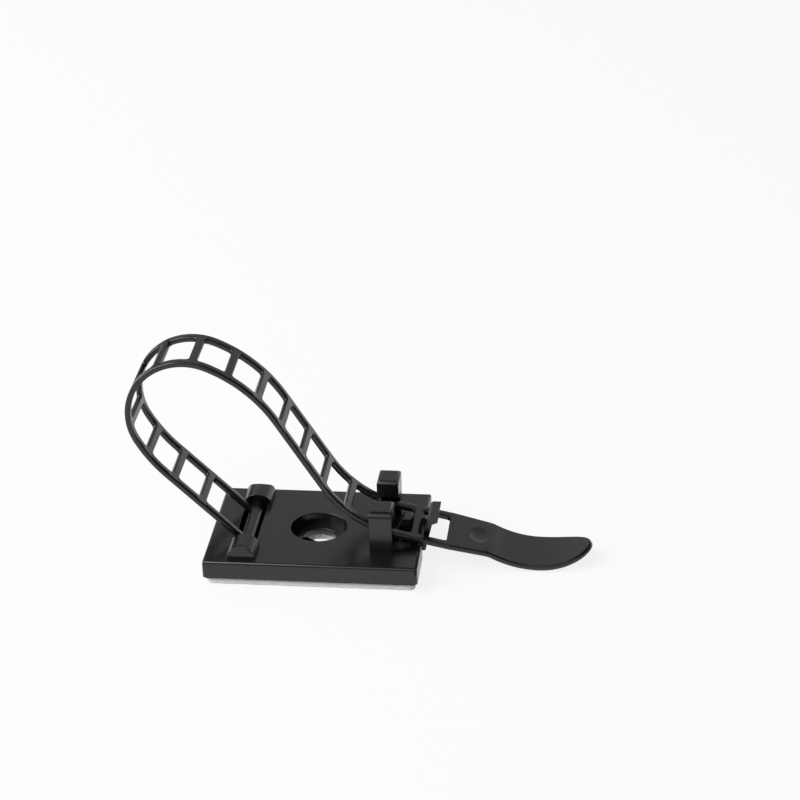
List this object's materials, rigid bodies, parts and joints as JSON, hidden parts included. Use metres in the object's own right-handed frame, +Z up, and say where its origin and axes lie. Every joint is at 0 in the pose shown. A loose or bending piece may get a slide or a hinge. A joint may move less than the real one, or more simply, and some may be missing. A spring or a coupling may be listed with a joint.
{
  "type": "adjustable cable clamp",
  "caption": "Adjustable cable clamp: a flat base with a recessed screw hole, a hinged ladder strap looped over and latched under hooks, a finger tail and an adhesive foam pad.",
  "frame": {"origin": "on the axis of the screw hole, at the underside of the adhesive pad", "axes": "+X from the hinge to the latch and tail, +Z up through the base; the picture was taken from the -Y side"},
  "size_m": [0.06, 0.02, 0.0292],
  "materials": {
    "nylon": "satin black moulded nylon",
    "foam": "matt white closed-cell foam"
  },
  "bodies": {
    "root": {"clamp": "nylon", "adhesive_pad": "foam"}
  },
  "joints": []
}
